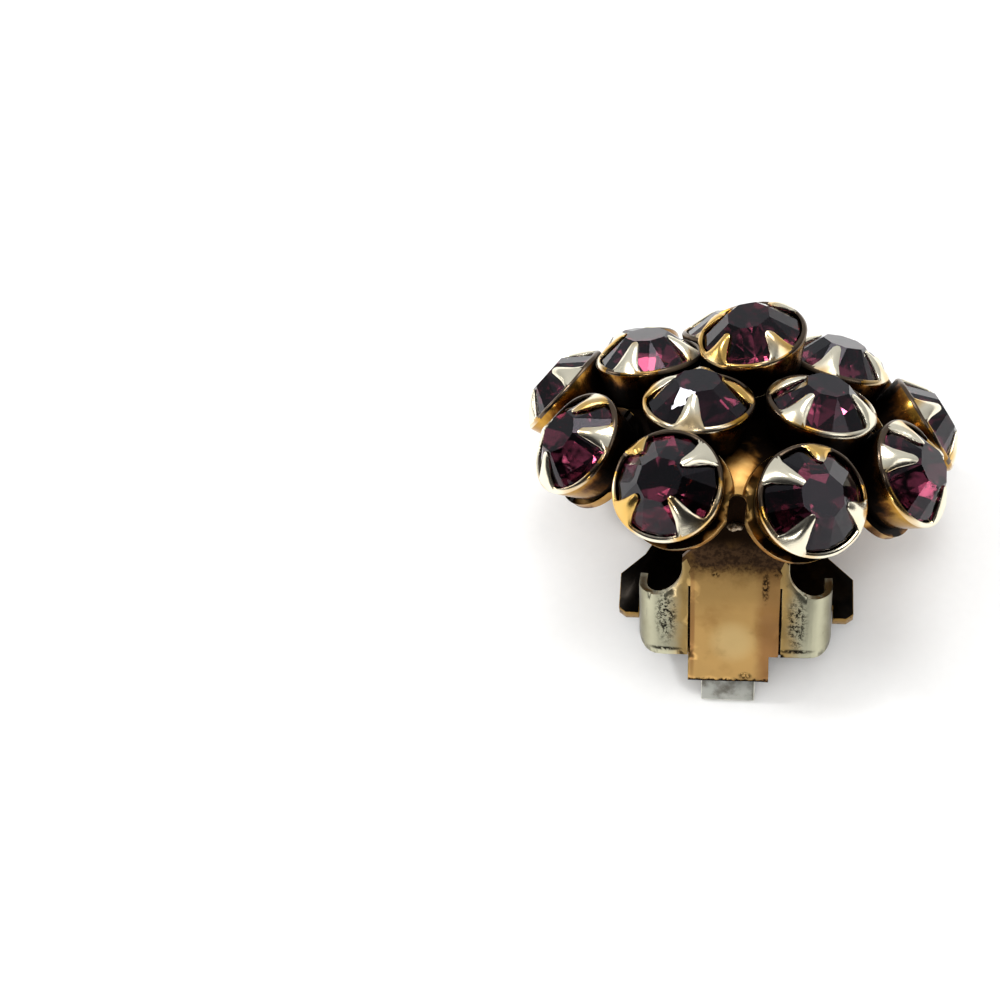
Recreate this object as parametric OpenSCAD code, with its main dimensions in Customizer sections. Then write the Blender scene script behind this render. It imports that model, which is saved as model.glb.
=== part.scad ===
// Clip-on earring: a domed cluster of foiled glass stones in prong cups, on a stamped plate with a hinged clip.
// The dome is built upright with the clip under it, then the whole earring is leaned back to lie as it rests.

/* [Stones] */
// Diameter of one stone at its girdle
stone_d = 5.3; // [5.2:0.05:5.3]
// Table width as a share of the girdle
table_share = 0.42; // [0.38:0.01:0.46]
// Height of the crown above the girdle
crown_h = 1.3; // [1.25:0.05:1.3]
// Depth of the pointed back below the girdle
pavilion_h = 1.73; // [1.5:0.01:1.75]

/* [Cups] */
// Outside diameter of a stone cup at its shoulder
cup_d = 6.0; // [6:0.05:6.1]
// Outside diameter of a stone cup at its base
cup_base_d = 4.9; // [4.8:0.1:5]
// Height of a cup from its base to its shoulder
cup_h = 2.1; // [2.05:0.05:2.2]
// Thickness of the cup's sheet
cup_wall = 0.2; // [0.15:0.01:0.2]
// Width of a prong where it leaves the shoulder
prong_w = 1.7; // [1.4:0.1:1.9]
// Distance of a prong's tip from the middle of its cup
prong_tip_r = 1.3; // [1.25:0.05:1.6]

/* [Dome] */
// Height of the middle cup's shoulder above the inner ring's
apex_z = 2.19; // [2.1:0.01:2.4]
// Lean of the middle cup, which is soldered a little askew
apex_tilt = 22; // [0:1:22]
// Radius of the inner ring at the cups' shoulders
inner_r = 5.6; // [5.55:0.05:5.8]
// Outward tilt of the inner ring's cups
inner_tilt = 11; // [9:1:13]
// Turn of the inner ring around the dome
inner_turn = -27; // [-30:1:-24]
// Radius of the outer ring at the cups' shoulders
outer_r = 10.4; // [10.3:0.05:10.6]
// Drop of the outer ring's shoulders below the inner ring's
outer_drop = 2.85; // [2.8:0.05:3]
// Outward tilt of the outer ring's cups
outer_tilt = 54.5; // [53:0.5:56]
// Angle between the two front cups, which stand further apart than the rest
front_gap = 42; // [40:1:43]
// Sideways lean of the dome on its clip
dome_roll = 5; // [0:0.5:6]

/* [Plate] */
// Thickness of the stamped plate
plate_t = 0.45; // [0.4:0.05:0.5]
// Diameter of the round lobe under each outer cup
lobe_d = 5.9; // [5.8:0.05:6]
// Width of the front notch between two lobes
front_notch_w = 0.95; // [0.8:0.05:1]
// Width of the other notches
notch_w = 0.6; // [0.5:0.05:0.7]

/* [Clip] */
// Width of the strip that carries the clip
strip_w = 4.8; // [4.6:0.1:4.9]
// Width of the strip below its ears
tail_w = 4.4; // [4.2:0.1:4.4]
// Thickness of the strip and its ears
strip_t = 0.4; // [0.4:0.05:0.5]
// Distance of the strip's face in front of the dome's axis
strip_y = 7.5; // [7.4:0.05:7.6]
// Width over the two curled ears
ears_w = 10.5; // [10.4:0.1:10.8]
// Radius of the ears' curl
curl_r = 1.5; // [1.3:0.1:1.6]
// Height of the ears
ear_h = 3.6; // [3.4:0.1:3.7]
// Diameter of the hinge pin
pin_d = 0.8; // [0.7:0.05:0.8]
// Width of the gripping paddle
paddle_w = 13.1; // [12.6:0.1:13.4]
// Length of the paddle from its hinge
paddle_l = 10.5; // [9.5:0.1:10.8]
// Thickness of the paddle
paddle_t = 0.7; // [0.6:0.05:0.75]
// Upward slope of the closed paddle
paddle_slope = 36; // [34:1:38]

/* [Stance] */
// Lean of the earring where it lies on its clip and its back lobe
lean = 31.27; // [31.1:0.01:31.5]

/* [Hidden] */
$fn = 48;
gap = 0.03;
inner_count = 5;
outer_count = 9;

// Which prongs sit where: a row for each cup that was bent by hand, with its ring, its place and four angles
prong_rows = [
    // ring, place, angles of the four prongs from the downhill side
    ["apex", 0, [-5, 78, 178, 280]],
    ["inner", 0, [-81, 19, 125, 205]],
    ["inner", 1, [-150, -81, 32, 122]],
    ["inner", 2, [-135, -46, 45, 135]],
    ["inner", 4, [75, 170, -15, -100]],
    ["outer", 0, [-127, -34, 69, 169]],
    ["outer", 1, [8, 95, 177, -125]],
    ["outer", 7, [3, 120, 186, -75]],
    ["outer", 8, [-126, -41, 48, 142]]
];
even_prongs = [45, 135, 225, 315];

// How far round each lobe is off its even place, and each outer cup off the middle of its lobe, in degrees
lobe_shift = [0, 0, 0, 0, -2.7, 0, 0, 0, 0];
cup_shift = [0, 0, 0, 0, 0, 0, 0, 2.5, 0];

// Places of the cups: azimuth from the front, radius, height and outward tilt
outer_step = (360 - front_gap) / (outer_count - 1);
apex_cups = [["apex", 0, [-41, 0, apex_z, apex_tilt]]];
inner_cups = [for (i = [0:inner_count - 1])
    ["inner", i, [inner_turn + i * 360 / inner_count, inner_r, 0, inner_tilt]]];
lobe_places = [for (i = [0:outer_count - 1])
    [front_gap / 2 + i * outer_step + lobe_shift[i], outer_r, -outer_drop, outer_tilt]];
outer_cups = [for (i = [0:outer_count - 1]) ["outer", i, lobe_places[i] + [cup_shift[i], 0, 0, 0]]];
cups = concat(apex_cups, inner_cups, outer_cups);

function prongs_of(ring, place) =
    let (found = [for (row = prong_rows) if (row[0] == ring && row[1] == place) row[2]])
    len(found) > 0 ? found[0] : even_prongs;

// Crown and prong slope, measured from the girdle's edge to the table's edge
girdle_t = 0.1;
girdle_r = stone_d / 2;
table_r = girdle_r * table_share;
crown_slope = atan(crown_h / (girdle_r - table_r));

// Cup section: the shoulder is an arc that ends along the crown
shoulder_r = 0.26;
shoulder_drop = 0.08;
shoulder_turn = 90 - crown_slope;
shoulder_steps = 4;
shoulder_x = cup_d / 2 - shoulder_r;
function on_shoulder(r, a) = [shoulder_x + r * cos(a), r * sin(a) - shoulder_drop];
function up_crown(from, to_r) = [to_r, from[1] + (from[0] - to_r) * tan(crown_slope)];
floor_t = 0.25;
rim_r = cup_d / 2 - 0.18;

// Plate section: a flat top that rolls over into an arc between the two rings
inner_foot = [inner_r - cup_h * sin(inner_tilt), -cup_h * cos(inner_tilt)];
outer_foot = [outer_r - cup_h * sin(outer_tilt), -outer_drop - cup_h * cos(outer_tilt)];
plate_arc_r = (outer_foot[0] - inner_foot[0]) / (sin(outer_tilt) - sin(inner_tilt));
plate_rise = 0.12;
plate_mid = [inner_foot[0] - plate_arc_r * sin(inner_tilt),
             inner_foot[1] - plate_arc_r * cos(inner_tilt) + plate_rise];
plate_end = 62;
plate_steps = 10;
boss_r = 2.3;
lobe_sink = 0.05;
notch_top = 47;
function on_plate(r, a) = plate_mid + r * [sin(a), cos(a)];

// Clip places, with the front of the strip towards -Y
roll_z = -4.5;
strip_top = -3.2;
strip_end = -15.4;
tail_x = -0.3;
ear_top = -10.2;
ear_foot = ear_top - ear_h;
fillet_r = 1.75;
fillet_top = ear_top + fillet_r;
ear_neck = 0.45;
neck_top = -7;
groove = 0.12;
groove_top = -9.5;
hinge_y = -4.9;
hinge_z = -12.95;
ear_end_r = 0.95;
barrel_d = 1.6;
pin_clearance = 0.04;
wall_clearance = 0.15;
shoulder_start = 1.15;
wing_start = 0.35;
pad_top = -0.25;
spring_t = 0.4;
spring_w = 2.95;
spring_end = -16.9;

// Rest pose: lean about the X axis, drop to the floor and centre over the origin
function leaned(p) = [p[0] * cos(lean) + p[1] * sin(lean), -p[0] * sin(lean) + p[1] * cos(lean)];
tab_corner = leaned([-strip_y + strip_t + gap + spring_t, spring_end]);
tab_front = leaned([-strip_y + strip_t + gap, spring_end]);
back_cup = leaned([outer_r, -outer_drop]);
back_reach = 1.59;
side_shift = 0.05;
centre_y = (tab_front[0] + back_cup[0] + back_reach) / 2;
centre_x = (-outer_drop - roll_z) * sin(dome_roll) - side_shift;

// A round-cut stone: eight crown facets, eight corner facets, and a pointed back
module stone() {
    sides = 16;
    table = [for (i = [0:7]) let (a = 22.5 + 45 * i)
        [table_r / cos(22.5) * cos(a), table_r / cos(22.5) * sin(a), girdle_t / 2 + crown_h]];
    upper = [for (i = [0:sides - 1]) let (a = 11.25 + 22.5 * i)
        [girdle_r * cos(a), girdle_r * sin(a), girdle_t / 2]];
    lower = [for (p = upper) [p[0], p[1], -girdle_t / 2]];
    point = [[0, 0, -girdle_t / 2 - pavilion_h]];
    table_face = [for (i = [7:-1:0]) i];
    main_faces = [for (i = [0:7]) [i, (i + 1) % 8, 8 + (2 * i + 2) % sides, 8 + (2 * i + 1) % sides]];
    corner_faces = [for (i = [0:7]) [i, 8 + (2 * i + 1) % sides, 8 + 2 * i]];
    girdle_faces = [for (i = [0:sides - 1])
        [8 + i, 8 + (i + 1) % sides, 24 + (i + 1) % sides, 24 + i]];
    back_faces = [for (i = [0:sides - 1]) [24 + i, 24 + (i + 1) % sides, 40]];
    polyhedron(concat(table, upper, lower, point),
        concat([table_face], main_faces, corner_faces, girdle_faces, back_faces), convexity = 2);
}

// A cup pressed from sheet, with four pointed prongs bent over the stone
module cup(prongs) {
    inner_shoulder = shoulder_r - cup_wall;
    outer_end = on_shoulder(shoulder_r, shoulder_turn);
    inner_end = on_shoulder(inner_shoulder, shoulder_turn);
    section = concat(
        [[0, -cup_h], [cup_base_d / 2, -cup_h]],
        [for (i = [0:shoulder_steps]) on_shoulder(shoulder_r, i * shoulder_turn / shoulder_steps)],
        [up_crown(outer_end, prong_tip_r), up_crown(inner_end, prong_tip_r)],
        [for (i = [shoulder_steps:-1:0]) on_shoulder(inner_shoulder, i * shoulder_turn / shoulder_steps)],
        [[cup_base_d / 2 - cup_wall, floor_t - cup_h], [0, floor_t - cup_h]]);
    difference() {
        rotate_extrude() polygon(section);
        translate([0, 0, -shoulder_drop]) linear_extrude(height = 3) difference() {
            circle(r = rim_r);
            for (a = prongs) rotate(a) prong_outline();
        }
    }
}

module prong_outline() {
    tip_w = 0.24;
    polygon([[prong_tip_r - 0.2, -tip_w / 2], [rim_r - 0.1, -prong_w / 2], [cup_d / 2, -prong_w / 2],
             [cup_d / 2, prong_w / 2], [rim_r - 0.1, prong_w / 2], [prong_tip_r - 0.2, tip_w / 2]]);
}

// Puts a piece at a cup's place, with Z out of the cup and X downhill
module at_cup(place) {
    rotate([0, 0, place[0] - 90]) translate([place[1], 0, place[2]]) rotate([0, place[3], 0]) children();
}

// The stamped plate: a thin shell with a round lobe under each outer cup and a notch between lobes
module plate() {
    top = [for (i = [0:plate_steps]) on_plate(plate_arc_r, i * plate_end / plate_steps)];
    under = [for (i = [plate_steps:-1:0]) on_plate(plate_arc_r - plate_t, i * plate_end / plate_steps)];
    top_z = plate_mid[1] + plate_arc_r;
    difference() {
        union() {
            rotate_extrude($fn = 96) polygon(concat([[0, top_z]], top, under, [[0, top_z - plate_t]]));
            for (place = lobe_places) at_cup(place) translate([0, 0, lobe_sink - cup_h - plate_t])
                cylinder(d = lobe_d, h = plate_t);
        }
        for (i = [0:outer_count - 1]) notch(i == 0 ? 0 : front_gap / 2 + (i - 0.5) * outer_step,
            i == 0 ? front_notch_w : notch_w);
    }
    apex_boss(top_z);
}

// A round seat that carries the middle cup above the plate
module apex_boss(top_z) {
    seat_z = apex_z - cup_h * cos(apex_tilt) + 0.05;
    intersection() {
        translate([0, 0, top_z - 0.2]) cylinder(r = boss_r, h = seat_z - top_z + 1.4);
        at_cup(apex_cups[0][2]) translate([0, 0, -cup_h - 4.1]) cylinder(r = boss_r + 2, h = 4.15);
    }
}

// A slot with a round top, cut square to the plate
module notch(azimuth, w) {
    a = notch_top + asin(w / 2 / plate_arc_r);
    p = on_plate(plate_arc_r, a);
    rotate([0, 0, azimuth - 90]) translate([p[0], 0, p[1]]) rotate([0, a, 0]) {
        translate([0, 0, -1.5]) cylinder(d = w, h = 2.5);
        translate([0, -w / 2, -1.5]) cube([6, w, 2.5]);
    }
}

// The strip, its narrower tail and the two ears that curl back and hold the hinge
module bracket() {
    difference() {
        union() {
            translate([-strip_w / 2, -strip_y, ear_foot]) cube([strip_w, strip_t, strip_top - ear_foot]);
            translate([tail_x - tail_w / 2, -strip_y, strip_end])
                cube([tail_w, strip_t, ear_foot - strip_end + 0.5]);
            ear();
            mirror([1, 0, 0]) ear();
        }
        for (side = [-1, 1])
            translate([side * (strip_w + groove) / 2 - groove / 2, -strip_y - 1, ear_foot - 0.02])
                cube([groove, 1 + 0.7 * strip_t, groove_top - ear_foot]);
    }
}

// An ear: its plan curls back round the paddle's barrel, and its outline is the one seen from the front
module ear() {
    wall_x = ears_w / 2;
    difference() {
        intersection() {
            translate([0, 0, ear_foot - 0.5]) linear_extrude(height = neck_top - ear_foot + 1)
                ear_plan(wall_x);
            translate([0, 1, 0]) rotate([90, 0, 0]) linear_extrude(height = strip_y + 2)
                polygon(ear_outline(wall_x));
        }
        rounded_end(wall_x);
        translate([wall_x - 2, hinge_y, hinge_z]) rotate([0, 90, 0]) cylinder(d = pin_d + 2 * gap, h = 4);
    }
}

module ear_plan(wall_x) {
    translate([strip_w / 2 - 0.3, -strip_y]) square([wall_x - curl_r - strip_w / 2 + 0.3, strip_t]);
    translate([wall_x - curl_r, curl_r - strip_y]) intersection() {
        difference() {
            circle(r = curl_r);
            circle(r = curl_r - strip_t);
        }
        translate([0, -curl_r]) square(curl_r);
    }
    translate([wall_x - strip_t, curl_r - strip_y])
        square([strip_t, strip_y - curl_r + hinge_y + ear_end_r + 0.1]);
}

// Outline of an ear: a narrow neck beside the strip, a sweep down to the outer wall, and a rounded foot
function arc(x, z, r, from, step, to) = [for (a = [from:step:to]) [x + r * cos(a), z + r * sin(a)]];
function ear_outline(wall_x) =
    let (neck_x = strip_w / 2 + ear_neck, foot_r = 0.9)
    concat([[strip_w / 2 - 0.3, ear_foot], [strip_w / 2 - 0.3, neck_top], [neck_x, neck_top - 0.8]],
           arc(neck_x + fillet_r, fillet_top, fillet_r, 180, 9, 270),
           [[wall_x + 1, ear_top + 0.1], [wall_x + 1, ear_foot + foot_r]],
           arc(wall_x - foot_r + 0.02, ear_foot + foot_r, foot_r, -12, -13, -90));

module rounded_end(wall_x) {
    difference() {
        translate([wall_x - 2, hinge_y, ear_foot - 1]) cube([3, 3, 9]);
        translate([wall_x - 3, hinge_y, hinge_z]) rotate([0, 90, 0]) cylinder(r = ear_end_r, h = 5);
    }
}

// Brings a piece of the dome to its sideways lean on the clip
module dome_pose() {
    translate([0, 0, roll_z]) rotate([0, dome_roll, 0]) translate([0, 0, -roll_z]) children();
}

// Brings a piece to the pose in which the earring lies
module rest_pose() {
    translate([-centre_x, -centre_y, -tab_corner[1]]) rotate([-lean, 0, 0]) children();
}

module setting() {
    color("goldenrod") rest_pose() {
        dome_pose() {
            plate();
            for (c = cups) at_cup(c[2]) cup(prongs_of(c[0], c[1]));
        }
        bracket();
    }
}

module stone_at(c) {
    color("indigo") rest_pose() dome_pose() at_cup(c[2]) stone();
}

module hinge_pin() {
    color("silver") rest_pose() translate([-ears_w / 2 - 0.05, hinge_y, hinge_z]) rotate([0, 90, 0])
        cylinder(d = pin_d, h = ears_w + 0.1);
}

// Flat steel spring behind the strip, with its end below the tail
module clip_spring() {
    back = -strip_y + strip_t + gap;
    bend_z = -15.2;
    tip_y = hinge_y - 1.05;
    tip_z = hinge_z - 0.4;
    color("slategray") rest_pose() translate([tail_x + spring_w / 2, 0, 0]) rotate([0, -90, 0])
        linear_extrude(height = spring_w)
            polygon([[spring_end, back], [spring_end, back + spring_t], [bend_z, back + spring_t],
                     [tip_z, tip_y], [tip_z + 1, tip_y], [tip_z + 1, tip_y - spring_t],
                     [tip_z + 0.1, tip_y - spring_t], [bend_z + 0.2, back]]);
}

// The gripping paddle: a plate with a wing outside each ear, on a barrel that turns on the pin
module clip_paddle() {
    barrel_l = ears_w - 2 * strip_t - 2 * wall_clearance;
    flare_end = 2.8;
    cut = [5.2, 4.1];
    neck = [3.5, 7.2];
    nose = [2.9, paddle_l - 0.9];
    tip = 1.9;
    wing_x = ears_w / 2 + wall_clearance;
    outline = [[wing_x, shoulder_start], [wing_x, wing_start], [paddle_w / 2 - 0.4, wing_start],
               [paddle_w / 2, wing_start + 0.3], [paddle_w / 2, flare_end], cut, neck, nose, [tip, paddle_l]];
    color("dimgray") rest_pose() translate([0, hinge_y, hinge_z]) rotate([paddle_slope, 0, 0]) difference() {
        union() {
            rotate([0, 90, 0]) cylinder(d = barrel_d, h = barrel_l, center = true);
            translate([-barrel_l / 2, 0, pad_top - paddle_t]) cube([barrel_l, shoulder_start + 0.5, paddle_t]);
            translate([0, 0, pad_top - paddle_t]) linear_extrude(height = paddle_t)
                polygon(concat(outline, [for (i = [len(outline) - 1:-1:0]) [-outline[i][0], outline[i][1]]]));
        }
        rotate([0, 90, 0]) cylinder(d = pin_d + 2 * pin_clearance, h = barrel_l + 1, center = true);
    }
}

setting();
stone_at(apex_cups[0]);  // stone_apex
for (i = [0:inner_count - 1])
    stone_at(inner_cups[i]);
for (i = [0:outer_count - 1])
    stone_at(outer_cups[i]);
hinge_pin();
clip_spring();
clip_paddle();
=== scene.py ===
# %% [markdown]
# # A clip-on earring: foiled stones in prong cups on a stamped plate
#
# The real earring is brass sheet, pressed, soldered and plated with gold that has worn and darkened. It
# carries fifteen round glass stones. The imported solids of the part give every size and place. This script
# dresses them: it opens the imported model first.

import math
from functools import partial

import bmesh
import bpy
from mathutils import Matrix, Vector, noise
from mathutils.bvhtree import BVHTree


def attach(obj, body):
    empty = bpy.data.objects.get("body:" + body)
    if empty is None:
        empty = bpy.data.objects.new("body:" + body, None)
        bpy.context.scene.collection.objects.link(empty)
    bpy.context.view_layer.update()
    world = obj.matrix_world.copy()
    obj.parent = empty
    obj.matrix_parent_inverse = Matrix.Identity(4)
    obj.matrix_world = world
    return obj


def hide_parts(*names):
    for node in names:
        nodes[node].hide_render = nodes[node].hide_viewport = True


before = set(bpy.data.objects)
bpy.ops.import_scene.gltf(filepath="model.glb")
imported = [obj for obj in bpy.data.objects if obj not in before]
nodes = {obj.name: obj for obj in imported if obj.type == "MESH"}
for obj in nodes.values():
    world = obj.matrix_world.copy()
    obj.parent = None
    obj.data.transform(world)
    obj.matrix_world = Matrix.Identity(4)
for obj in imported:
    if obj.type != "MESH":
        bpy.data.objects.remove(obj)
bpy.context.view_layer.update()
print("packed nodes:", len(nodes))

# %% [markdown]
# ## Where things are
#
# The plate is struck into a low dome, and each cup is soldered on its own slope of it: turned round the
# dome and tilted outwards. The same named sizes as in the part's source give those places here, in
# millimetres. A matrix carries a shape from its own axes to its place, so every cup and stone can be
# modelled once, upright at the origin, which is far easier than on a slope.

# %% Sizes of the stones, the cups, the dome and the clip
MM = 0.001
STONE_D, TABLE_SHARE, CROWN_H, PAVILION_H = 5.3, 0.42, 1.3, 1.73
CUP_D, CUP_BASE_D, CUP_H, CUP_WALL = 6.0, 4.9, 2.1, 0.2
INNER_COUNT, INNER_R, INNER_TURN, INNER_TILT = 5, 5.6, -27, 11
OUTER_COUNT, OUTER_R, OUTER_DROP, OUTER_TILT, FRONT_GAP = 9, 10.4, 2.85, 54.5, 42
APEX_Z, APEX_TURN, APEX_TILT = 2.19, -41, 22
DOME_ROLL, ROLL_Z, LEAN, SIDE_SHIFT, BACK_REACH = 5, -4.5, 31.27, 0.05, 1.59
STRIP_Y, STRIP_T, SPRING_T, SPRING_END, GAP = 7.5, 0.4, 0.4, -16.9, 0.03

# How far each outer cup was soldered off its even place, in degrees
OUTER_SHIFT = (0, 0, 0, 0, -2.7, 0, 0, 2.5, 0)
print("stone", STONE_D, "mm in a cup of", CUP_D, "mm")

# %% [markdown]
# The earring doesn't stand upright. It leans back until the end of its clip and the cup at its back touch
# the table, and its dome leans a little sideways on the clip. Two matrices hold those poses.

# %% The pose at rest and the place of each cup
def turn(degrees, axis):
    return Matrix.Rotation(math.radians(degrees), 4, axis)


def move(x, y, z):
    return Matrix.Translation((x, y, z))


lean_back = turn(-LEAN, "X")
tab_corner = lean_back @ Vector((0, -STRIP_Y + STRIP_T + GAP + SPRING_T, SPRING_END))
tab_front = lean_back @ Vector((0, -STRIP_Y + STRIP_T + GAP, SPRING_END))
back_cup = lean_back @ Vector((0, OUTER_R, -OUTER_DROP))
centre_x = (-OUTER_DROP - ROLL_Z) * math.sin(math.radians(DOME_ROLL)) - SIDE_SHIFT
centre_y = (tab_front.y + back_cup.y + BACK_REACH) / 2
rest_pose = move(-centre_x, -centre_y, -tab_corner.z) @ lean_back
dome_pose = rest_pose @ move(0, 0, ROLL_Z) @ turn(DOME_ROLL, "Y") @ move(0, 0, -ROLL_Z)


def cup_place(azimuth, radius, height, tilt):
    """The matrix of a cup: Z out of the cup, X downhill."""
    return dome_pose @ turn(azimuth - 90, "Z") @ move(radius, 0, height) @ turn(tilt, "Y")


places = {"apex": cup_place(APEX_TURN, 0, APEX_Z, APEX_TILT)}
for i in range(INNER_COUNT):
    places[f"inner_{i + 1}"] = cup_place(INNER_TURN + 360 / INNER_COUNT * i, INNER_R, 0, INNER_TILT)
outer_step = (360 - FRONT_GAP) / (OUTER_COUNT - 1)
for i in range(OUTER_COUNT):
    azimuth = FRONT_GAP / 2 + i * outer_step + OUTER_SHIFT[i]
    places[f"outer_{i + 1}"] = cup_place(azimuth, OUTER_R, -OUTER_DROP, OUTER_TILT)
print("cups:", len(places))

# %% [markdown]
# The prongs were bent over the stones by hand. So each front cup has them at its own angles, which are
# degrees round the cup from its downhill side, and each tip ends at its own distance from the middle of the
# cup.

# %% Angles and tips of the prongs
EVEN_ANGLES = (45, 135, 225, 315)
PRONG_TIP_R, PRONG_TIP_FROM, PRONG_TIP_SPREAD = 1.3, 1.42, 0.5


def tip_radius(name, k):
    """How far from the cup's middle a prong ends, in millimetres, a little different for each prong."""
    seed = Vector((k * 3.7, len(name), sum(map(ord, name))))
    return PRONG_TIP_FROM + PRONG_TIP_SPREAD * abs(noise.noise(seed))


prong_angles = {name: EVEN_ANGLES for name in places}
prong_angles.update({
    "apex": (-5, 78, 178, 280), "inner_1": (-81, 19, 125, 205), "inner_2": (-150, -81, 32, 122),
    "inner_3": (-135, -46, 45, 135), "inner_5": (75, 170, -15, -100), "outer_1": (-127, -34, 69, 169),
    "outer_2": (8, 95, 177, -125), "outer_8": (3, 120, 186, -75), "outer_9": (-126, -41, 48, 142)})
prong_tips = {name: [tip_radius(name, k) for k in range(4)] for name in places}
prong_tips.update({
    "outer_1": (PRONG_TIP_R, PRONG_TIP_R, 1.6, 2.0), "outer_9": (2.2, 1.6, PRONG_TIP_R, 1.5),
    "apex": (1.7, 1.75, 1.8, 1.7)})
print("prongs:", sum(len(angles) for angles in prong_angles.values()))

# %% [markdown]
# ## Camera
#
# The photograph looks down on the clip side of the earring. The camera was worked out from where the rims
# of the cups lie in it, with the cups taken as evenly spaced. It is a long lens from about ten centimetres,
# so nearer cups look larger. Its angles and shift are measured on the dome's own axes, so the dome's matrix
# brings the camera to its place.

# %% Camera at the photograph's viewing angle
PITCH, CAMERA_ROLL, YAW = 25.95, -3.03, 6.5
FOCAL_PX, FRAME_PX, SENSOR_MM = 1768, 1000, 36
SHIFT_MM = Vector((13.71, -7.08, 97.85))
pitch = math.radians(PITCH)
forward = Vector((0, math.cos(pitch), -math.sin(pitch)))
level_down = Vector((0, -math.sin(pitch), -math.cos(pitch)))
level_right = Vector((1, 0, 0))
cos_roll, sin_roll = math.cos(math.radians(CAMERA_ROLL)), math.sin(math.radians(CAMERA_ROLL))
yaw = turn(YAW, "Z").to_3x3()
right = yaw @ (cos_roll * level_right + sin_roll * level_down)
down = yaw @ (-sin_roll * level_right + cos_roll * level_down)
forward = yaw @ forward
pose = Matrix((right, -down, -forward)).transposed().to_4x4()
pose.translation = -(right * SHIFT_MM.x + down * SHIFT_MM.y + forward * SHIFT_MM.z)
pose = dome_pose @ pose
pose.translation *= MM

camera_data = bpy.data.cameras.new("camera")
camera_data.sensor_width = SENSOR_MM
camera_data.lens = SENSOR_MM * FOCAL_PX / FRAME_PX
camera_data.clip_start = 0.005
camera = bpy.data.objects.new("camera", camera_data)
camera.matrix_world = pose
bpy.context.scene.collection.objects.link(camera)
bpy.context.scene.camera = camera
print("camera at", [round(v, 4) for v in pose.translation])

# %% [markdown]
# ## Light
#
# Polished metal and glass show mostly what is around them. Dim sheets overhead and at both sides give the
# metal soft bands, and small lamps give the sparkle. The room in front of the earring is dark, so the
# facets and prongs that face it stay dark.

# %% World and lights
# Name, place and side in metres, and watts. Each lamp points at the earring.
LAMPS = (("overhead_sheet", (0.03, 0.12, 0.28), 0.12, 0.20),
         ("key_lamp", (-0.165, 0.05, 0.246), 0.035, 0.22),
         ("left_sheet", (-0.28, 0.05, 0.09), 0.09, 0.10),
         ("right_sheet", (0.198, -0.031, 0.223), 0.12, 0.06),
         ("front_lamp", (-0.06, -0.27, 0.10), 0.03, 0.07),
         ("lens_lamp", (-0.02, -0.11, 0.23), 0.03, 0.035))
for name, place, side, watts in LAMPS:
    data = bpy.data.lights.new(name, "AREA")
    data.shape = "SQUARE"
    data.size = side
    data.energy = watts
    lamp = bpy.data.objects.new(name, data)
    lamp.visible_camera = False
    lamp.location = place
    lamp.rotation_euler = (-Vector(place)).to_track_quat("-Z", "Y").to_euler()
    bpy.context.scene.collection.objects.link(lamp)

bpy.context.scene.view_settings.view_transform = "Standard"
world = bpy.data.worlds.new("studio")
world.use_nodes = True
bpy.context.scene.world = world
print("lamps:", len(LAMPS))

# %% [markdown]
# ## Materials
#
# A painter picks colours as sRGB hex values, and a shader needs them linear, so one function converts them.
# A pattern is a chain of nodes, and each node is added by one function: the table gives the short name of
# each kind that the earring needs, its fixed settings, the inputs that a call fills in order, and the
# output that is used.

# %% Helpers for materials
NODE_KINDS = {
    "mix": ("ShaderNodeMix", {"data_type": "RGBA"}, (0, 6, 7), 2),
    "step": ("ShaderNodeMapRange", {"interpolation_type": "SMOOTHSTEP"},
             ("Value", "From Min", "From Max"), 0),
    "rescale": ("ShaderNodeMapRange", {}, ("Value", "To Min", "To Max"), 0),
    "times": ("ShaderNodeMath", {"operation": "MULTIPLY", "use_clamp": True}, (0, 1), 0),
    "larger": ("ShaderNodeMath", {"operation": "MAXIMUM", "use_clamp": True}, (0, 1), 0),
    "without sign": ("ShaderNodeMath", {"operation": "ABSOLUTE"}, (0,), 0),
    "times plus": ("ShaderNodeMath", {"operation": "MULTIPLY_ADD"}, (0, 1, 2), 0),
    "noise": ("ShaderNodeTexNoise", {}, ("Vector", "Scale", "Detail", "Roughness"), 0),
    "bump": ("ShaderNodeBump", {}, ("Height", "Strength", "Distance"), 0),
    "stored": ("ShaderNodeAttribute", {}, (), "Fac"),
    "object place": ("ShaderNodeTexCoord", {}, (), "Object"),
    "direction": ("ShaderNodeTexCoord", {}, (), "Generated"),
    "mapped": ("ShaderNodeMapping", {"vector_type": "POINT"},
               ("Vector", "Rotation", "Location", "Scale"), 0),
    "split": ("ShaderNodeSeparateXYZ", {}, ("Vector",), None),
    "kind of ray": ("ShaderNodeLightPath", {}, (), None)}


def hex_colour(code):
    """An sRGB hex value as a linear colour."""
    channels = [int(code[i:i + 2], 16) / 255 for i in (0, 2, 4)]
    return [v / 12.92 if v <= 0.04045 else ((v + 0.055) / 1.055) ** 2.4 for v in channels] + [1.0]


def fill(node, inputs):
    """Links or sets a node's inputs, by name or number. A hex value becomes a colour."""
    for key, value in inputs.items():
        if isinstance(value, bpy.types.NodeSocket):
            node.id_data.links.new(value, node.inputs[key])
        else:
            node.inputs[key].default_value = hex_colour(value) if isinstance(value, str) else value


def add_node(tree, kind, *inputs, **settings):
    """Adds a node with its settings and links. Gives its output, or all of them where the table has None."""
    node_type, fixed, sockets, output = NODE_KINDS[kind]
    node = tree.nodes.new(node_type)
    for key, value in {**fixed, **settings}.items():
        setattr(node, key, value)
    fill(node, dict(zip(sockets, inputs)))
    return node.outputs if output is None else node.outputs[output]


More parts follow.
